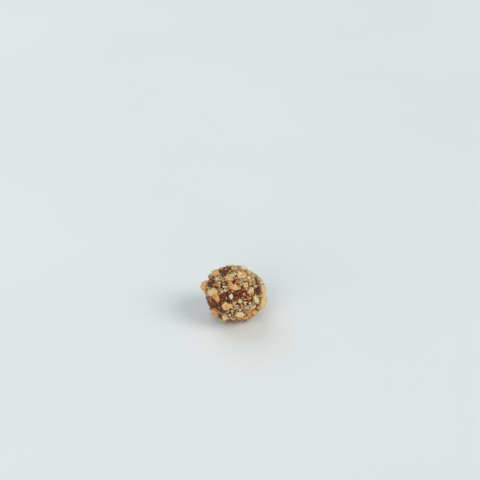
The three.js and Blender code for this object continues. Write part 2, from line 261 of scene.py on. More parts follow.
def laid_on_paste(step, direction):
    return step - EYE_TOWARD * (step.dot(direction) / max(LEAST_FACING, direction.dot(EYE_TOWARD)))


nuts = []
draw = seeded_draws(FRONT_SEED)
for right, above, length, width, thickness, sides, turn, lift, roast, broken in FRONT_PIECES:
    direction = seen_direction(right, above)
    spin = Matrix.Rotation(math.radians(turn), 3, EYE_TOWARD)
    across, up = laid_on_paste(spin @ EYE_RIGHT, direction), laid_on_paste(spin @ EYE_UP, direction)
    corners = pressed_in(direction, across, up, (length, width, thickness), sides, lift, draw)
    nuts.append((direction, length, corners, roast, broken))
print(len(nuts), "pieces laid on the front")

# %% [markdown]
# The rest of the coat fills itself in, as when the ball is rolled over chopped nuts. Even places are
# tried with large pieces first, then smaller ones, and a place is kept only if it is clear of the pieces
# before it and not in a bare patch. The front has its large pieces already, so it takes only the
# smallest. Its bare patches are listed. Those of the hidden side are spread by seeded draws, because a
# coat without gaps would look knitted.

# %% Fill in the rest of the coat
BARE_PASTE = [
    # right and above, radius
    ((-17.2, -2.0), 5.0), ((-14.8, -8.0), 4.0), ((-11.5, -6.0), 4.6), ((-6.0, -2.2), 3.4),
    ((-6.0, 14.2), 3.4), ((-14.2, 6.8), 2.4), ((1.2, -0.8), 3.0), ((13.4, 1.8), 2.2),
]
HIDDEN_BARE, HIDDEN_BARE_RADIUS, HIDDEN_BARE_SEED = 18, (2.4, 4.8), 733
COAT = [
    # tries, lengths, sides, whether on the front too
    (90, (5.0, 8.4), 5, False), (240, (3.4, 5.0), 4, False), (420, (2.1, 2.9), 3, True),
]
COAT_WIDTH, COAT_THICKNESS, COAT_LIFT = (0.62, 0.9), (0.36, 0.52), (-0.28, 0.0)
COAT_CLEARANCE, COAT_ROAST, COAT_BROKEN = 0.8, (0.06, 0.78, 1.9), 1
FRONT_FACING, HIDDEN_FACING = 0.2, -0.1
COAT_SEED, SHADE_SEED = 1383, 907

bare_places = seen_places(BARE_PASTE)
draw = seeded_draws(HIDDEN_BARE_SEED)
for i in range(HIDDEN_BARE):
    place, radius = even_direction(i, HIDDEN_BARE), draw(*HIDDEN_BARE_RADIUS)
    if place.dot(EYE_TOWARD) < HIDDEN_FACING:
        bare_places.append((place, radius))


def stays_free(direction, length, on_front):
    if direction.dot(EYE_TOWARD) > FRONT_FACING and not on_front:
        return True
    if any(apart(direction, place) < radius for place, radius in bare_places):
        return True
    return any(apart(direction, nut[0]) < COAT_CLEARANCE * (length + nut[1]) / 2 for nut in nuts)


draw, shades = seeded_draws(COAT_SEED), seeded_draws(SHADE_SEED)
for tries, lengths, sides, on_front in COAT:
    for i in range(tries):
        direction = even_direction(i, tries)
        length = draw(*lengths)
        size = (length, length * draw(*COAT_WIDTH), length * draw(*COAT_THICKNESS))
        lift = size[2] * draw(*COAT_LIFT)
        turn = draw(-math.pi, math.pi)
        if stays_free(direction, length, on_front):
            continue
        across = Matrix.Rotation(turn, 3, direction) @ Vector((-direction.y, direction.x, 0)).normalized()
        corners = pressed_in(direction, across, direction.cross(across), size, sides, lift, draw)
        nuts.append((direction, length, corners, mostly_low(*COAT_ROAST, shades), COAT_BROKEN))
print(len(nuts), "nut pieces in all,", len(bare_places), "bare patches")

# %% [markdown]
# A hull alone looks like a paving stone. A knife also knocks chips off a nut, so planes cut a few corners
# off each hull: some shallow ones over its top and some steep ones round its rim. Then its edges are
# split until they are under half a millimetre, or up to three times that where the paste hides them. A
# Subdivision modifier would round the facets away.
# The hull operator gives its triangles in no promised order, so they are put in order before anything is
# built on them. A split can leave a point with only two edges, the tip of a flap without thickness, and
# such points are deleted.

# %% How a nut is chopped
KNOCKS = [
    # tilt in degrees, share that is kept
    ((12, 35), (0.9, 0.97)), ((12, 35), (0.9, 0.97)),
    ((60, 95), (0.92, 0.98)), ((60, 95), (0.92, 0.98)), ((60, 95), (0.92, 0.98)),
]
SPLIT, SPLIT_ROUNDS = 0.38, 5
HIDDEN_DEPTH, HIDDEN_SPLIT = 0.3, 3


def lowest_first(ring):
    start = ring.index(min(ring))
    return ring[start:] + ring[:start]


def hull_round(corners):
    rough, hull = bmesh.new(), bmesh.new()
    for corner in corners:
        rough.verts.new(corner)
    bmesh.ops.convex_hull(rough, input=rough.verts)
    rough.verts.index_update()
    sides = sorted(lowest_first([v.index for v in face.verts]) for face in rough.faces)
    rough.free()
    used = {i: hull.verts.new(corners[i]) for i in sorted({i for side in sides for i in side})}
    for side in sides:
        hull.faces.new([used[i] for i in side])
    return hull


def cut_off(nut, normal, point):
    whole = nut.verts[:] + nut.edges[:] + nut.faces[:]
    bmesh.ops.bisect_plane(nut, geom=whole, dist=1e-4, plane_co=point, plane_no=normal, clear_outer=True)
    bmesh.ops.holes_fill(nut, edges=[e for e in nut.edges if e.is_boundary], sides=0)


def split_fine(nut):
    bmesh.ops.triangulate(nut, faces=nut.faces)
    for _ in range(SPLIT_ROUNDS):
        middles = np.array([(e.verts[0].co + e.verts[1].co) / 2 for e in nut.edges])
        above = np.linalg.norm(middles, axis=1)
        hidden = paste_radius(middles / above[:, None]) > above + HIDDEN_DEPTH
        limits = [HIDDEN_SPLIT * SPLIT if deep else SPLIT for deep in hidden]
        long_edges = [e for e, limit in zip(nut.edges, limits) if e.calc_length() > limit]
        bmesh.ops.subdivide_edges(nut, edges=long_edges, cuts=1)
        bmesh.ops.triangulate(nut, faces=nut.faces)
        flaps = [v for v in nut.verts if len(v.link_edges) < 3]
        bmesh.ops.delete(nut, geom=flaps, context="VERTS")
    bmesh.ops.recalc_face_normals(nut, faces=nut.faces)


def chopped_nut(corners, outward, draw):
    nut = hull_round(corners)
    sideways = outward.orthogonal().normalized()
    for tilt, keep in KNOCKS:
        lean = Matrix.Rotation(math.radians(draw(*tilt)), 3, sideways)
        normal = Matrix.Rotation(draw(0, 2 * math.pi), 3, outward) @ lean @ outward
        along = [normal.dot(v.co) for v in nut.verts]
        cut_off(nut, normal, normal * (min(along) + (max(along) - min(along)) * draw(*keep)))
    cut_off(nut, Vector((0, 0, -1)), Vector((0, 0, -MIDDLE_HEIGHT)))
    split_fine(nut)
    return nut


sample = hull_round(nuts[0][2])
print("the first piece's hull has", len(sample.faces), "facets before it is chopped")
sample.free()

# %% [markdown]
# A nut breaks along many small planes, so each cell of a cell pattern gets a tilt of its own, which steps
# the surface as a break does. Bump in the finish could fake it, but the outline would stay smooth.
# Two attributes go along for the finish. Roast is how brown a spot is: each piece has its own tone,
# browner on the side that was the outside of the nut and along its edges, which toast first. Stain is how
# much paste sticks to it, most where it sinks into the ball, with a few smears. The golden and the
# smeared spots that the photograph shows on the front are listed.

# %% Break planes, roast and stain
FACET, FACET_TILT, DEEPEST_STEP = 2.3, 0.36, -0.22
WARM_SPOTS = [
    # right and above, radius, amount
    ((5.8, 11.9), 1.7, 0.36), ((-4.2, -6.7), 1.5, 0.34), ((-11.0, -0.6), 2.0, 0.4), ((-16.4, 2.6), 1.3, 0.35),
    ((-2.2, 3.9), 1.9, 0.5), ((2.8, 4.2), 1.2, 0.25), ((10.0, 1.0), 1.1, 0.5), ((16.0, 1.0), 1.0, 0.4),
    ((-5.2, -15.3), 1.6, 0.35), ((-10.2, 13.4), 1.5, 0.15), ((6.0, -13.2), 1.6, 0.3),
    ((-14.0, -9.4), 1.2, 0.3),
]
SMEARED_SPOTS = [
    # right and above, radius, amount
    ((2.8, 8.0), 2.8, 0.5), ((-14.2, 10.0), 2.2, 0.6), ((-11.4, -11.4), 1.8, 0.4), ((11.0, -7.0), 2.4, 0.3),
    ((-1.6, 12.4), 1.8, 0.35), ((6.2, 6.2), 1.4, 0.35), ((9.0, -12.2), 1.6, 0.25), ((0.0, 15.7), 1.8, 0.25),
]
SKIN_BROWN, EDGE_BROWN, MOTTLE_BROWN = 0.34, 0.26, 0.2
SMEAR, SUNK_STAIN, BURIED = 0.4, 0.9, 0.4
SMEAR_SHIFT = Vector((40, 0, 0))
warm_spots, smeared_spots = seen_places(WARM_SPOTS), seen_places(SMEARED_SPOTS)


def ease(low, high, value):
    share = max(0, min(1, (value - low) / (high - low)))
    return share * share * (3 - 2 * share)


def from_spots(spots, direction, mottle):
    near = [(apart(direction, at) / radius + 0.3 * mottle, amount) for at, radius, amount in spots]
    return sum(amount * ease(1.15, 0.6, far) for far, amount in near)


def uneven(point):
    return noise.fractal(point, 0.8, 2.0, 3)


def broken_planes(point):
    corner = noise.voronoi(point / FACET)[1][0]
    tilt = noise.cell_vector(corner * 5.3) - Vector((0.5, 0.5, 0.5))
    return max(DEEPEST_STEP, FACET_TILT * tilt.dot(point - corner * FACET))


def roast_at(place, tone, outside, edge, mottle):
    brown = SKIN_BROWN * ease(0.3, 0.9, outside) + EDGE_BROWN * edge + MOTTLE_BROWN * mottle
    brown += from_spots(warm_spots, place.normalized(), mottle)
    return max(0, min(1, tone + brown * (1 - 0.5 * tone)))


def stain_at(place, radius, broken, mottle):
    height = place.length - radius - BURIED
    smear = ease(0.25, 0.6, uneven(place / 1.3 + SMEAR_SHIFT))
    smear = SMEAR * broken * smear + from_spots(smeared_spots, place.normalized(), mottle)
    return max(0, min(1, SUNK_STAIN * ease(0.6, 0.0, height + 0.3 * mottle) + smear))


print(len(warm_spots), "golden spots and", len(smeared_spots), "smeared ones")

# %% [markdown]
# Now every piece is chopped, smoothed once so that its edges are eased, and stepped along its break
# planes. How far the smoothing pulled a point in tells that it lies on an edge. What is wholly under the
# table is skipped. The pieces are joined to one mesh, because more than a hundred objects with one finish
# would only be slower.

# %% The nut pieces
NUT_SEED, LOWEST_TOP = 5519, 0.6
FINE_RELIEF = 0.05
nut_finish = bpy.data.materials.new("chopped roasted nut")


def finished_piece(name, bm, material, smooth=True):
    bmesh.ops.transform(bm, matrix=TO_FRAME, verts=bm.verts)
    mesh = bpy.data.meshes.new(name)
    bm.to_mesh(mesh)
    bm.free()
    mesh.polygons.foreach_set("use_smooth", [smooth] * len(mesh.polygons))
    mesh.materials.append(material)
    piece = bpy.data.objects.new(name, mesh)
    bpy.context.collection.objects.link(piece)
    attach(piece, "root")
    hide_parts("energy_ball")
    print(name, len(mesh.polygons), "faces")


def break_surface(nut, tone, broken, skin_side):
    roast_layer, stain_layer = (nut.verts.layers.float.new(name) for name in ("roast", "stain"))
    sharp = [v.co.copy() for v in nut.verts]
    every_way = {"use_axis_x": True, "use_axis_y": True, "use_axis_z": True}
    bmesh.ops.smooth_vert(nut, verts=nut.verts, factor=0.5, **every_way)
    nut.normal_update()
    normals = [v.normal.copy() for v in nut.verts]
    radii = paste_radius([v.co.normalized() for v in nut.verts])
    for vert, before, normal, radius in zip(nut.verts, sharp, normals, radii):
        edge = ease(0.02, 0.1, (before - vert.co).dot(normal))
        vert.co += normal * (broken * broken_planes(vert.co) + FINE_RELIEF * uneven(vert.co / 0.75))
        vert.co.z = max(vert.co.z, -MIDDLE_HEIGHT)
        mottle = uneven(vert.co / 1.6)
        vert[roast_layer] = roast_at(vert.co, tone, normal.dot(skin_side), edge, mottle)
        vert[stain_layer] = stain_at(vert.co, radius, broken, mottle)


bm = bmesh.new()
for name in ("roast", "stain"):
    bm.verts.layers.float.new(name)
draw = seeded_draws(NUT_SEED)
for direction, length, corners, tone, broken in nuts:
    if max(corner.z for corner in corners) < LOWEST_TOP - MIDDLE_HEIGHT:
        continue
    nut = chopped_nut(corners, direction, draw)
    skin_side = Vector((draw(-1, 1), draw(-1, 1), draw(-1, 1))).normalized()
    break_surface(nut, tone, broken, skin_side)
    shaped = bpy.data.meshes.new("one nut")
    nut.to_mesh(shaped)
    nut.free()
    bm.from_mesh(shaped)
    bpy.data.meshes.remove(shaped)
nut_tree = BVHTree.FromBMesh(bm)
finished_piece("nut_pieces", bm, nut_finish)

# %% [markdown]
# Here and there a strip of date skin lies in the paste, dark and wrinkled. Painting its edge by hand
# would take a texture, so noise makes the rim of a round spot ragged, and an attribute of the mesh tells
# the finish where it is. The front has listed strips, the hidden side seeded ones.

# %% Where date skin shows
DATE_SKINS = [
    # right and above, radius
    ((-14.0, 6.6), 3.0), ((13.5, 8.1), 1.6), ((13.9, 2.2), 1.8), ((-6.8, 5.0), 2.6),
]
HIDDEN_DATE_SKINS, HIDDEN_DATE_RADIUS, DATE_SEED = 16, (1.2, 2.4), 613

draw = seeded_draws(DATE_SEED)
date_skins = seen_places(DATE_SKINS)
for i in range(HIDDEN_DATE_SKINS):
    place, radius = even_direction(i, HIDDEN_DATE_SKINS), draw(*HIDDEN_DATE_RADIUS)
    if place.dot(EYE_TOWARD) < FRONT_FACING:
        date_skins.append((place, radius))


def date_share(direction):
    ragged = 0.7 * noise.noise(direction * 6) + 0.35 * noise.noise(direction * 17)
    return max(ease(1.0, 0.86, apart(direction, place) / radius + ragged) for place, radius in date_skins)


def bare_share(direction):
    return max(ease(1.15, 0.7, apart(direction, place) / radius) for place, radius in bare_places)


print(len(date_skins), "date skins")

# %% [markdown]
# Up close, date paste is no smooth dough. Palms have pressed it and fingers have torn it. On top it is a
# mash of sticky clumps about two millimetres across with creases between them, each clump grainy again,
# and some areas are rougher than others. A cell pattern has just that build: the gap between the nearest
# and the second nearest point is small along a crease and large on a clump. Vector noise bends the
# pattern, because clumps aren't tiles. Date skin has no clumps. It lies calmer, in long folds, so the
# relief blends over to folds there.

# %% Relief of the paste
CLUMP, GRAIN = 2.3, 0.8
ROUGH_SHIFT = Vector((9, 0, 0))


def gap(point):
    nearest, second = noise.voronoi(point)[0][:2]
    return second - nearest


def paste_relief(point, date):
    # How far creases wander, then clumps and grains, which are 0 in a crease and 1 on top
    bent = noise.noise_vector(point / 1.7) * 0.5 + noise.noise_vector(point / 0.6) * 0.16
    clump = min(1, gap(point / CLUMP + bent) / 0.3)
    grain = min(1, gap(point / GRAIN + bent) / 0.4)
    # Tears of about a millimetre and dents of a few, on which the mash stands higher where it is rough
    torn = noise.fractal(point / 1.2, 0.8, 2.1, 4)
    rough = ease(-0.35, 0.25, noise.noise(point / 3.6 + ROUGH_SHIFT))
    pressed = 0.34 * noise.fractal(point / 3.4, 1.0, 2.0, 3) + 0.28 * min(torn, 0.12)
    mash = pressed + (0.2 + 0.3 * rough) * (clump - 0.85) + (0.05 + 0.13 * rough) * (grain - 0.6)
    # Date skin, folded across, and the creases and tears, into which the finish paints shade
    folds = 1 - abs(noise.noise(Vector((point.x / 2.2, point.y / 2.2, point.z / 0.9)) + bent))
    skin = 0.28 * noise.noise(point / 1.8) + 0.3 * folds**4
    crease_shade = 1 - clump * (0.6 + 0.4 * grain) + 0.5 * ease(0.0, -0.6, torn)
    return mash + (skin - mash) * date, min(1, crease_shade) * (1 - date)


heights = [paste_relief(even_direction(i, 200) * PASTE_WIDTH / 2, 0)[0] for i in range(200)]
print("the mash rises and falls by", round(max(heights) - min(heights), 1), "mm")

# %% [markdown]
# The paste mesh is an icosphere: its triangles are nearly equal all over, so the relief is as fine on top
# as at the sides, which a UV sphere with its crowded poles wouldn't give. To save triangles, a ray from
# each point looks for a nut over it, and only what lies open is split finer. Each point then moves out
# along its own direction. Nuts that are pressed in push the paste up between them, so it stands a little
# higher there than on the bare patches. What would fall below the table is set down flat on it: the soft
# underside has settled there.

# %% The paste ball
PUSHED_UP, BARE_DIP = 0.3, 0.6
RAY_START, RAY_LENGTH = 0.5, 6
paste_finish = bpy.data.materials.new("kneaded date and cocoa paste")


def nothing_over(verts):
    directions = [v.co.normalized() for v in verts]
    starts = [d * (radius + RAY_START) for d, radius in zip(directions, paste_radius(directions))]
    hits = [nut_tree.ray_cast(start, d, RAY_LENGTH)[0] for start, d in zip(starts, directions)]
    return {v for v, hit in zip(verts, hits) if hit is None}


bm = bmesh.new()
bmesh.ops.create_icosphere(bm, subdivisions=6, radius=1)
showing = nothing_over(bm.verts)
bmesh.ops.subdivide_edges(bm, edges=[e for e in bm.edges if showing & set(e.verts)], cuts=2)
bmesh.ops.triangulate(bm, faces=bm.faces)
# The crease value is painted shade: it tells the finish how dark to paint the gaps between clumps and the
# tears, where shade would fall.
date_layer, crease_shade_layer = (bm.verts.layers.float.new(name) for name in ("date_skin", "crease_shade"))
directions = [v.co.normalized() for v in bm.verts]
for vert, direction, radius in zip(bm.verts, directions, paste_radius(directions)):
    date = date_share(direction)
    relief, crease_shade = paste_relief(direction * radius, date)
    vert.co = direction * (radius + PUSHED_UP * (1 - BARE_DIP * bare_share(direction)) + relief)
    vert.co.z = max(vert.co.z, -MIDDLE_HEIGHT)
    vert[date_layer], vert[crease_shade_layer] = date, crease_shade
paste_tree = BVHTree.FromBMesh(bm)
finished_piece("paste_ball", bm, paste_finish)

# %% [markdown]
# Chopping leaves pieces of every size down to meal, and the sticky paste picks them up. There are
# thousands, so each has only a few faces: a hull round eight chance points, split once more for the
# larger ones. A few kinds are made once, and arrays turn, scale and join copies of them to one mesh,
# which is much faster than an operator for each. To lie on the true surface, each is dropped by a ray
# towards the ball's middle, which says what it lands on.

# %% Chips and where they land
CHIP_CORNERS, CHIP_SLIP, CHIP_REACH = 8, 0.35, (0.46, 0.64)
CHIP_WIDTH, CHIP_HEIGHT, CHIP_DENT = (0.6, 0.95), (0.7, 1), 0.06
DROP_FROM, TABLE_GAP = 40, 0.5


def near_even(index, count, draw, slip):
    nudge = Vector((draw(-1, 1), draw(-1, 1), draw(-1, 1))) * slip
    return (even_direction(index, count) + nudge).normalized()


def chips(count, squash, seed, splits):
    made, draw = [], seeded_draws(seed)
    for _ in range(count):
        numbers = range(CHIP_CORNERS)
        places = [near_even(i, CHIP_CORNERS, draw, CHIP_SLIP) * draw(*CHIP_REACH) for i in numbers]
        chip = hull_round(places)
        bmesh.ops.scale(chip, vec=(1, draw(*CHIP_WIDTH), squash * draw(*CHIP_HEIGHT)), verts=chip.verts)
        for _ in range(splits):
            bmesh.ops.subdivide_edges(chip, edges=chip.edges, cuts=1, use_grid_fill=True)
            for vert in chip.verts:
                vert.co += Vector((draw(-1, 1), draw(-1, 1), draw(-1, 1) * squash)) * CHIP_DENT
        bmesh.ops.triangulate(chip, faces=chip.faces)
        chip.verts.index_update()
        faces = np.array([[v.index for v in face.verts] for face in chip.faces])
        made.append((np.array([v.co for v in chip.verts]), faces))
        chip.free()
    return made


def landing(direction):
    start = direction * DROP_FROM
    on_paste = paste_tree.ray_cast(start, -direction)
    on_nut = nut_tree.ray_cast(start, -direction)
    if on_nut[0] and on_nut[3] < on_paste[3]:
        return on_nut[0], on_nut[1], True
    return on_paste[0], on_paste[1], False


def near_table(place):
    return place.z < TABLE_GAP - MIDDLE_HEIGHT


def lying_on(normal, spin, tilt):
    flat = normal.to_track_quat("Z", "Y").to_matrix()
    return flat @ Matrix.Rotation(spin, 3, "Z") @ Matrix.Rotation(tilt, 3, "X")


def scattered(name, kinds, places, material):
    corners, faces, roasts, stains, start = [], [], [], [], 0
    for number, (place, turned, size, roast, stain) in enumerate(places):
        shape, sides = kinds[number % len(kinds)]
        corners.append(shape * size @ np.array(turned).T + np.array(place))
        faces.append(sides + start)
        roasts.append(np.full(len(shape), roast))
        stains.append(np.full(len(shape), stain))
        start += len(shape)
    mesh = bpy.data.meshes.new(name)
    mesh.from_pydata(np.concatenate(corners), [], np.concatenate(faces))
    for attribute, values in (("roast", roasts), ("stain", stains)):
        mesh.attributes.new(attribute, "FLOAT", "POINT").data.foreach_set("value", np.concatenate(values))
    bm = bmesh.new()
    bm.from_mesh(mesh)
    bpy.data.meshes.remove(mesh)
    for vert in bm.verts:
        vert.co.z = max(vert.co.z, -MIDDLE_HEIGHT)
    finished_piece(name, bm, material, smooth=False)


print("a crumb dropped on the front lands on nut:", landing(-EYE_UP)[2])

# %% [markdown]
# On the front the small stuff drifts where the photograph shows it: thick at the upper right and along
# the bottom, thin where the paste lies open. Elsewhere noise makes drifts of its own, because an even
# dusting looks like sugar. One function gives the share of places that get something. Where it lies
# thick, nut has rubbed on nut and not on paste, so it stays cleaner and paler.

# %% Where the small stuff drifts
DRIFTS = [
    # right and above, radius
    ((11, 10), 6.5), ((4, 15), 5.0), ((-7, 3.5), 4.2), ((1, -6.5), 3.6), ((8, -8), 4.5), ((0, -13), 6.5),
    ((7, -11), 5.5), ((5, 8), 4.0), ((15, -9), 4.5), ((-10, 9), 4.0), ((-9, -13), 4.5),
]
OPEN_PASTE = [
    # right and above, radius
    ((5.0, 1.0), 2.4), ((3.0, 1.2), 2.4), ((-15.5, -4.5), 5.0), ((-9.0, -9.0), 3.4), ((-8.5, -5.0), 3.6),
    ((8.0, -4.4), 2.2), ((-1.0, -10.6), 2.2), ((-3.0, -3.6), 2.2), ((7.0, -0.8), 2.4), ((-6.5, 5.0), 2.2),
    ((-14.0, 6.4), 3.2), ((-5.4, 14.0), 3.3), ((-6.8, -10.2), 2.6), ((-8.5, -13.0), 2.2),
    ((-12.6, 10.5), 2.2), ((2.2, -5.8), 1.4), ((13.9, 2.4), 2.7), ((13.5, 8.1), 2.3),
]
CLEANER, LESS_STAINED = 0.5, 0.7
drifts, open_places = seen_places(DRIFTS), bare_places + seen_places(OPEN_PASTE)


def small_share(direction):
    chance = 0.4 + 0.5 * noise.noise(direction * 4.2)
    for place, radius in drifts:
        chance = max(chance, 1.1 - 0.6 * apart(direction, place) / radius)
    for place, radius in open_places:
        chance *= 1 - 0.94 * ease(1.2, 0.85, apart(direction, place) / radius)
    return chance


def thickness_of(share):
    return ease(0.35, 1.0, share)


def kept_clean(roast, stain, share):
    thick = thickness_of(share)
    return roast * (1 - CLEANER * thick), stain * (1 - LESS_STAINED * thick)


print(len(drifts), "drifts,", len(open_places), "open places")

# %% [markdown]
# The bits, a millimetre or two across, lie between the large pieces without overlapping each other, a
# little tilted. The ones that stand out on the front are listed and the rest fall by chance. A particle
# system could strew them, but it can't keep them apart. Under the ball's belly the palms and the table
# have pressed them deeper, so they sink further in there.

# %% Nut bits between the pieces
FRONT_BITS = [
    # right, above, size, roast
    (-15.4, 0.6, 2.0, 0.7), (-16.8, -0.6, 2.0, 0.4), (-15.2, 8.6, 1.6, 0.35), (-9.6, 13.3, 2.5, 0.5),
    (12.5, 4.6, 2.2, 0.0), (12.1, 6.3, 1.6, 0.15), (-5.6, 3.2, 1.6, 0.1), (-7.6, 3.2, 1.4, 0.2),
    (-6.6, 6.6, 1.6, 0.1), (-4.9, 4.6, 1.4, 0.05), (0.6, -5.0, 1.4, 0.1), (1.7, -6.6, 1.3, 0.15),
    (0.4, -8.2, 1.6, 0.2), (2.4, -4.6, 1.3, 0.4), (5.0, -1.9, 1.2, 0.05), (7.0, -3.0, 1.1, 0.0),
    (9.4, -5.6, 2.2, 0.1), (10.0, -8.8, 2.2, 0.5), (7.0, -8.0, 2.0, 0.3), (11.2, -12.3, 2.2, 0.4),
    (-7.8, -11.6, 1.2, 0.3), (-2.6, -12.0, 2.0, 0.15), (0.6, -12.6, 2.0, 0.25), (14.6, 9.8, 2.0, 0.15),
    (9.8, 8.0, 2.2, 0.3), (7.0, 9.0, 2.0, 0.2), (2.6, 14.6, 2.4, 0.15), (-2.6, 14.6, 2.2, 0.55),
    (12.9, 12.9, 2.4, 0.4), (-8.4, 9.0, 2.0, 0.2), (0.9, 6.4, 2.0, 0.6),
]
FRONT_BIT_SPIN, FRONT_BIT_TILT, FRONT_BIT_STAIN = (0, 6.3), (-0.3, 0.3), 0.05
BIT_TRIES, BIT_SLIP, BIT_SEED = 3600, 0.025, 4447
BIT_SIZE, BIT_ROAST, BIT_STAIN, BIT_TILT = (0.8, 1.5, 2.2), (0.02, 0.75, 2.3), 0.35, (-0.6, 0.6)
BIT_CLEARANCE, BIT_SINK, UNDER_SINK = 0.42, 0.04, 0.3


def sunk_in(place, normal, size, depth):
    return place - normal * size * (depth + UNDER_SINK * ease(0.0, -0.7, normal.z))


draw = seeded_draws(BIT_SEED)
bits, taken, sizes = [], np.zeros((0, 3)), np.zeros(0)
for right, above, size, roast in FRONT_BITS:
    place, normal, _ = landing(seen_direction(right, above))
    turned = lying_on(normal, draw(*FRONT_BIT_SPIN), draw(*FRONT_BIT_TILT))
    bits.append((place, turned, size, roast, FRONT_BIT_STAIN))
    taken, sizes = np.vstack([taken, place]), np.append(sizes, size)
for i in range(BIT_TRIES):
    direction = near_even(i, BIT_TRIES, draw, BIT_SLIP)
    chance, size = draw(0, 1), mostly_low(*BIT_SIZE, draw)
    spin, tilt = draw(0, 2 * math.pi), draw(*BIT_TILT)
    roast, stain = mostly_low(*BIT_ROAST, draw), BIT_STAIN * draw(0, 1)
    place, normal, on_nut = landing(direction)
    share = small_share(direction)
    if on_nut or chance > share or near_table(place):
        continue
    if (np.linalg.norm(taken - place, axis=1) < BIT_CLEARANCE * (sizes + size)).any():
        continue
    lowered = sunk_in(place, normal, size, BIT_SINK)
    bits.append((lowered, lying_on(normal, spin, tilt), size, *kept_clean(roast, stain, share)))
    taken, sizes = np.vstack([taken, place]), np.append(sizes, size)
scattered("nut_bits", chips(count=14, squash=0.6, seed=19, splits=1), bits, nut_finish)

# %% [markdown]
# Crumbs go everywhere the bits do, a few on the open paste and on the nuts too, more of them where the
# drifts are thick. Small ones are far more common than large ones, as in any chopped food. They may
# overlap: meal clings to meal.

# %% Nut crumbs
CRUMB_TRIES, CRUMB_SLIP, CRUMB_SEED = 10000, 0.015, 8087
CRUMB_SIZE, CRUMB_ROAST, CRUMB_STAIN, CRUMB_SINK = (0.36, 0.85, 2.3), (0.05, 0.7, 2.4), 0.45, -0.05
CRUMB_AXES, AXIS_STEP, AXIS_SLIP = 50, 7, 0.2
STRAY, PASTE_HOLDS, NUT_HOLDS, DRIFT_HOLDS = 0.06, 0.75, 0.14, 0.2

draw = seeded_draws(CRUMB_SEED)
crumbs = []
for i in range(CRUMB_TRIES):
    direction = near_even(i, CRUMB_TRIES, draw, CRUMB_SLIP)
    chance, size = draw(0, 1), mostly_low(*CRUMB_SIZE, draw)
    spin = draw(0, 2 * math.pi)
    turned = Matrix.Rotation(spin, 3, near_even(i * AXIS_STEP % CRUMB_AXES, CRUMB_AXES, draw, AXIS_SLIP))
    roast, stain = mostly_low(*CRUMB_ROAST, draw), CRUMB_STAIN * draw(0, 1)
    place, normal, on_nut = landing(direction)
    share = small_share(direction)
    caught = NUT_HOLDS + DRIFT_HOLDS * thickness_of(share) if on_nut else PASTE_HOLDS
    if chance > (STRAY + share) * caught or near_table(place):
        continue
    crumbs.append((sunk_in(place, normal, size, CRUMB_SINK), turned, size, *kept_clean(roast, stain, share)))
scattered("nut_crumbs", chips(count=9, squash=0.8, seed=31, splits=0), crumbs, nut_finish)

# %% [markdown]
# Two more small things make the coat true. Papery scraps of roasted nut skin lie flat on it, thin and
# red-brown. And dabs of the paste itself come away on the fingers and stick to the nuts. Both are chips
# again, the scraps squashed nearly flat, because a plane without thickness would vanish when seen from
# its edge.

# %% Nut skins and paste crumbs
SCRAP_TRIES, SCRAP_SLIP, SCRAP_SEED = 900, 0.05, 2239
SKIN_ON_NUT, SKIN_ON_PASTE, DAB_ON_NUT = 0.03, 0.12, 0.12
SKIN_LIFT, SKIN_TILT, SKIN_ROAST, SKIN_STAIN = 0.04, 0.3, 0.9, 0.1
SMALLEST_SKIN, SKIN_SPAN, SMALLEST_DAB, DAB_SPAN = 0.7, 1.2, 0.3, 0.8
skin_finish = bpy.data.materials.new("papery nut skin")

draw = seeded_draws(SCRAP_SEED)
scraps, dabs = [], []
for i in range(SCRAP_TRIES):
    direction = near_even(i, SCRAP_TRIES, draw, SCRAP_SLIP)
    kind, size, spin = draw(0, 1), draw(0, 1), draw(0, 2 * math.pi)
    place, normal, on_nut = landing(direction)
    if near_table(place):
        continue
    if kind < (SKIN_ON_NUT if on_nut else SKIN_ON_PASTE):
        flat, across = lying_on(normal, spin, SKIN_TILT * size), SMALLEST_SKIN + SKIN_SPAN * size
        scraps.append((place + normal * SKIN_LIFT, flat, across, SKIN_ROAST, SKIN_STAIN))
    elif on_nut and kind < DAB_ON_NUT:
        dabs.append((place, lying_on(normal, spin, 0), SMALLEST_DAB + DAB_SPAN * size**2, 0, 0))
scattered("nut_skins", chips(count=6, squash=0.12, seed=57, splits=1), scraps, skin_finish)
scattered("paste_crumbs", chips(count=6, squash=0.5, seed=83, splits=0), dabs, paste_finish)

# %% [markdown]
# Finishes next. Colours are written as sRGB hex values, as a colour picker shows them, and one function
# turns them to the linear values that Blender reckons with. Another small one adds a node with its
# settings and its links. Object coordinates are in metres, so a pattern of so many millimetres needs a
# scale of a thousand over that. The Mix node keeps one pair of sockets for numbers and one for colours,
# and the names here pick them.

# %% Helpers for finishes
MIX_SHARE = 0
NUMBER_A, NUMBER_B, NUMBER_MIXED = 2, 3, 0
COLOUR_A, COLOUR_B, COLOUR_MIXED = 6, 7, 2


def linear(hex_colour):
    parts = [int(hex_colour[i : i + 2], 16) / 255 for i in (1, 3, 5)]
    return [c / 12.92 if c <= 0.04045 else ((c + 0.055) / 1.055) ** 2.4 for c in parts] + [1.0]


def per_mm(size):
    return 1000 / size


def add(tree, kind, links=None, **settings):
    node = tree.nodes.new(kind)
    for name, value in settings.items():
        setattr(node, name, value)
    for socket, value in (links or {}).items():
        if isinstance(value, bpy.types.NodeSocket):
            tree.links.new(value, node.inputs[socket])
        else:
            node.inputs[socket].default_value = value
    return node


def fresh_tree(owner):
    owner.use_nodes = True
    owner.node_tree.nodes.clear()
    return owner.node_tree


def set_stops(ramp, stops):
    elements = ramp.color_ramp.elements
    while len(elements) < len(stops):
        elements.new(0.5)
    for element, (position, hex_colour) in zip(elements, stops):
        element.position = position
        element.color = linear(hex_colour)


print("paste brown in linear light:", [round(c, 3) for c in linear("#763011")])
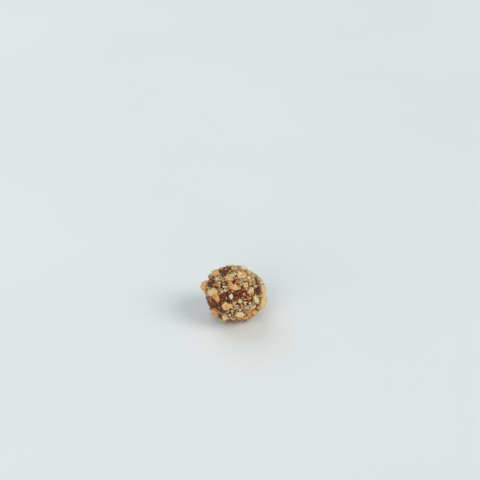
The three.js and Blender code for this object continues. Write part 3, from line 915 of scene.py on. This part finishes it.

# %% [markdown]
# Kneaded date and cocoa paste is dark, moist and uneven: cocoa makes it brown, date flesh gives a red
# cast, and fine ground nut shows in it as paler grains. Noise at clump size turns the brown, an attribute
# that follows the creases paints shade into the gaps between clumps and into the tears, where shade would
# fall, and noise at grain size adds the grains. Where the date-skin attribute says so, the colour goes over
# to darker peel with its own wrinkles. One flat brown with gloss would look like plastic.

# %% Colour of the paste
tree = fresh_tree(paste_finish)
where = add(tree, "ShaderNodeTexCoord").outputs["Object"]
clumps = {"Vector": where, "Scale": per_mm(1.9), "Detail": 6.0, "Roughness": 0.68}
mash = add(tree, "ShaderNodeTexNoise", clumps)
brown = add(tree, "ShaderNodeValToRGB", {"Fac": mash.outputs["Fac"]})
set_stops(brown, [(0.3, "#461607"), (0.46, "#763011"), (0.58, "#984d22"), (0.74, "#b97c47")])
crease_shade = add(tree, "ShaderNodeAttribute", attribute_name="crease_shade")
# Painted shade: the crease value darkens the brown towards near-black #2a0f05 in the gaps between clumps and
# in the tears.
depth = add(tree, "ShaderNodeMath", {0: crease_shade.outputs["Fac"], 1: 0.85}, operation="MULTIPLY")
gap_shade = {MIX_SHARE: depth.outputs["Value"], COLOUR_A: brown.outputs["Color"], COLOUR_B: linear("#2a0f05")}
crease_shaded = add(tree, "ShaderNodeMix", gap_shade, data_type="RGBA")
grit = add(tree, "ShaderNodeTexNoise", {"Vector": where, "Scale": per_mm(0.6), "Detail": 2.0})
specks = {"Value": grit.outputs["Fac"], "From Min": 0.58, "From Max": 0.7, "To Max": 0.6}
grains = add(tree, "ShaderNodeMapRange", specks)
under = crease_shaded.outputs[COLOUR_MIXED]
meal = {MIX_SHARE: grains.outputs["Result"], COLOUR_A: under, COLOUR_B: linear("#b0875b")}
grainy = add(tree, "ShaderNodeMix", meal, data_type="RGBA")
skin = add(tree, "ShaderNodeAttribute", attribute_name="date_skin")
folds = {"Vector": where, "Scale": per_mm(1.1), "Detail": 4.0, "Roughness": 0.6}
wrinkles = add(tree, "ShaderNodeTexNoise", folds)
peel = add(tree, "ShaderNodeValToRGB", {"Fac": wrinkles.outputs["Fac"]})
set_stops(peel, [(0.36, "#2a110a"), (0.52, "#4b2313"), (0.68, "#774323")])
under = grainy.outputs[COLOUR_MIXED]
strips = {MIX_SHARE: skin.outputs["Fac"], COLOUR_A: under, COLOUR_B: peel.outputs["Color"]}
dark = add(tree, "ShaderNodeMix", strips, data_type="RGBA")
print("paste colour:", len(tree.nodes), "nodes")

# %% [markdown]
# Sugar and fat keep the paste damp in spots, so its roughness varies with a noise of under a millimetre,
# and date skin has an even gloss of its own. A dust of nut meal clings to it all, too fine to model, and
# makes it paler towards its outline. That is what sheen does on velvet, so a little warm sheen stands in
# for it.

# %% Gloss of the paste
wet = add(tree, "ShaderNodeTexNoise", {"Vector": where, "Scale": per_mm(0.9), "Detail": 3.0})
spots = {"Value": wet.outputs["Fac"], "From Min": 0.4, "From Max": 0.62, "To Min": 0.22, "To Max": 0.62}
damp = add(tree, "ShaderNodeMapRange", spots)
waxy = {MIX_SHARE: skin.outputs["Fac"], NUMBER_A: damp.outputs["Result"], NUMBER_B: 0.34}
glossy = add(tree, "ShaderNodeMix", waxy)
fibres = {"Vector": where, "Scale": per_mm(0.4), "Detail": 5.0, "Roughness": 0.65}
fine = add(tree, "ShaderNodeTexNoise", fibres)
bump = add(tree, "ShaderNodeBump", {"Height": fine.outputs["Fac"], "Strength": 0.6, "Distance": 0.0004})
surface = {
    "Base Color": dark.outputs[COLOUR_MIXED], "Roughness": glossy.outputs[NUMBER_MIXED],
    "Normal": bump.outputs["Normal"], "IOR": 1.4, "Specular IOR Level": 0.26,
    "Sheen Weight": 0.3, "Sheen Roughness": 0.45, "Sheen Tint": linear("#e0c8b4"),
}
shader = add(tree, "ShaderNodeBsdfPrincipled", surface)
add(tree, "ShaderNodeOutputMaterial", {"Surface": shader.outputs["BSDF"]})
print("paste finish:", len(tree.nodes), "nodes")

# %% [markdown]
# Roasted nut meat is pale cream inside and toasts through gold to orange-brown outside. It is oily, so it
# is never quite matt, and light sinks into it a little, which subsurface scattering gives. The roast
# attribute picks the colour from a ramp, so one finish serves every piece, fine noise mottles it, and the
# stain attribute lays thin brown paste over it.

# %% Finish of the nuts
tree = fresh_tree(nut_finish)
where = add(tree, "ShaderNodeTexCoord").outputs["Object"]
roast = add(tree, "ShaderNodeAttribute", attribute_name="roast")
patches = {"Vector": where, "Scale": per_mm(0.9), "Detail": 4.0, "Roughness": 0.6}
mottle = add(tree, "ShaderNodeTexNoise", patches)
range_of = {"Value": mottle.outputs["Fac"], "From Min": 0.3, "From Max": 0.7, "To Min": -0.12, "To Max": 0.12}
spread = add(tree, "ShaderNodeMapRange", range_of)
toast = add(tree, "ShaderNodeMath", {0: roast.outputs["Fac"], 1: spread.outputs["Result"]}, operation="ADD")
colour = add(tree, "ShaderNodeValToRGB", {"Fac": toast.outputs["Value"]})
pale, dark = [(0.0, "#e8d7b0"), (0.25, "#dcc291")], [(0.5, "#dbae6f"), (0.75, "#dc9a50"), (1.0, "#c96f33")]
set_stops(colour, pale + dark)
stain = add(tree, "ShaderNodeAttribute", attribute_name="stain")
thin = add(tree, "ShaderNodeMath", {0: stain.outputs["Fac"], 1: 0.75}, operation="MULTIPLY")
smears = {MIX_SHARE: thin.outputs["Value"], COLOUR_A: colour.outputs["Color"], COLOUR_B: linear("#7a4729")}
smeared = add(tree, "ShaderNodeMix", smears, data_type="RGBA")
grain = add(tree, "ShaderNodeTexNoise", {"Vector": where, "Scale": per_mm(0.3), "Detail": 3.0})
bump = add(tree, "ShaderNodeBump", {"Height": grain.outputs["Fac"], "Strength": 0.5, "Distance": 0.0003})
surface = {
    "Base Color": smeared.outputs[COLOUR_MIXED], "Normal": bump.outputs["Normal"],
    "Roughness": 0.52, "IOR": 1.46,
    "Subsurface Weight": 0.25, "Subsurface Radius": (1.0, 0.6, 0.3), "Subsurface Scale": 0.0008,
}
shader = add(tree, "ShaderNodeBsdfPrincipled", surface)
add(tree, "ShaderNodeOutputMaterial", {"Surface": shader.outputs["BSDF"]})
print("nut finish:", len(tree.nodes), "nodes")

# %% [markdown]
# The papery skin of a roasted nut is a dry red-brown film with darker veins. It shows only in scraps of a
# millimetre, so one noise gives both its colour and its bump, and it has almost no gloss.

# %% Finish of the nut skins
tree = fresh_tree(skin_finish)
where = add(tree, "ShaderNodeTexCoord").outputs["Object"]
veins = add(tree, "ShaderNodeTexNoise", {"Vector": where, "Scale": per_mm(0.8), "Detail": 3.0})
colour = add(tree, "ShaderNodeValToRGB", {"Fac": veins.outputs["Fac"]})
set_stops(colour, [(0.3, "#6e371b"), (0.52, "#a05a2b"), (0.72, "#c07a3d")])
bump = add(tree, "ShaderNodeBump", {"Height": veins.outputs["Fac"], "Strength": 0.3, "Distance": 0.0002})
surface = {
    "Base Color": colour.outputs["Color"], "Normal": bump.outputs["Normal"], "Roughness": 0.6, "IOR": 1.45,
}
shader = add(tree, "ShaderNodeBsdfPrincipled", surface)
add(tree, "ShaderNodeOutputMaterial", {"Surface": shader.outputs["BSDF"]})
print("skin finish:", len(tree.nodes), "nodes")

# %% [markdown]
# The stage is a plain pale floor, large enough that its edge lies far behind the ball. A very faint haze
# of noise keeps it from looking like a sheet of one colour.

# %% Floor
FLOOR_HALF = 3.0

floor_finish = bpy.data.materials.new("pale matt floor")
tree = fresh_tree(floor_finish)
where = add(tree, "ShaderNodeTexCoord").outputs["Object"]
haze = add(tree, "ShaderNodeTexNoise", {"Vector": where, "Scale": per_mm(180), "Detail": 2.0})
tint = add(tree, "ShaderNodeValToRGB", {"Fac": haze.outputs["Fac"]})
set_stops(tint, [(0.3, "#e9f2f8"), (0.7, "#ecf4f9")])
shader = add(tree, "ShaderNodeBsdfPrincipled", {"Base Color": tint.outputs["Color"], "Roughness": 0.55})
add(tree, "ShaderNodeOutputMaterial", {"Surface": shader.outputs["BSDF"]})

bm = bmesh.new()
bmesh.ops.create_grid(bm, x_segments=8, y_segments=8, size=FLOOR_HALF)
mesh = bpy.data.meshes.new("floor")
bm.to_mesh(mesh)
bm.free()
mesh.materials.append(floor_finish)
floor = bpy.data.objects.new("floor", mesh)
bpy.context.collection.objects.link(floor)
print("a floor", 2 * FLOOR_HALF, "m wide")

# %% [markdown]
# The light is that of a bright room. Warm window light comes from the right and a little from the front,
# so the shadow falls softly to the left. A weaker one fills in from the front left, and a cool faint one
# lifts the back. Sun lamps with a wide angle do this: they light every side of the ball evenly, where an
# area lamp would fall off. The room's walls are as pale as the floor at the horizon and dimmer towards
# the ceiling. The plain Standard view keeps the colours as they were picked.

# %% Light
LIGHTS = [
    # name, where it comes from, spread in degrees, strength, colour
    ("window light", (0.64, -0.2, 0.56), 34, 1.36, "#fff6e8"),
    ("front fill", (-0.42, -0.74, 0.44), 54, 1.2, "#fffcf6"),
    ("back light", (-0.4, 0.7, 0.7), 50, 0.7, "#f0f4ff"),
]
for name, comes_from, spread, strength, colour in LIGHTS:
    lamp = bpy.data.lights.new(name, "SUN")
    lamp.angle, lamp.energy = math.radians(spread), strength
    lamp.color = linear(colour)[:3]
    holder = bpy.data.objects.new(name, lamp)
    holder.rotation_euler = Vector(comes_from).to_track_quat("Z", "Y").to_euler()
    bpy.context.collection.objects.link(holder)

world = bpy.data.worlds.new("pale room")
tree = fresh_tree(world)
heading = add(tree, "ShaderNodeSeparateXYZ", {"Vector": add(tree, "ShaderNodeTexCoord").outputs["Generated"]})
walls = add(tree, "ShaderNodeValToRGB", {"Fac": heading.outputs["Z"]})
set_stops(walls, [(0.0, "#dce1e4"), (0.12, "#bdbfc0"), (0.5, "#939391")])
room = add(tree, "ShaderNodeBackground", {"Color": walls.outputs["Color"]})
add(tree, "ShaderNodeOutputWorld", {"Surface": room.outputs["Background"]})
bpy.context.scene.world = world
bpy.context.scene.view_settings.view_transform = "Standard"
print(len(LIGHTS), "lights in a pale room")

# %% [markdown]
# The camera stands where the photograph was taken from: straight in front, looking down at about 35
# degrees. The ball's middle lies a little left of and well below the picture's middle, so the camera aims
# at the point that is that much right of and above the ball. A lens shift would frame it too, but it
# would slide other views.

# %% Camera
PICTURE, SEEN_AT, MM_PER_PIXEL = 480, (234.2, 294.4), 0.6
FIELD_OF_VIEW = math.radians(22)

ball_middle = TO_FRAME @ Vector((0, 0, 0))
distance = PICTURE * MM_PER_PIXEL / 2000 / math.tan(FIELD_OF_VIEW / 2)
aim = ball_middle + EYE_RIGHT * (PICTURE / 2 - SEEN_AT[0]) * MM_PER_PIXEL / 1000
aim += EYE_UP * (SEEN_AT[1] - PICTURE / 2) * MM_PER_PIXEL / 1000
lens = bpy.data.cameras.new("camera")
lens.sensor_width, lens.angle = 36, FIELD_OF_VIEW
lens.clip_start, lens.clip_end = 0.01, 20
camera = bpy.data.objects.new("camera", lens)
camera.location = ball_middle + EYE_TOWARD * distance
camera.rotation_euler = (aim - camera.location).to_track_quat("-Z", "Y").to_euler()
bpy.context.collection.objects.link(camera)
bpy.context.scene.camera = camera
print("the camera is", round(distance, 3), "m from the ball")
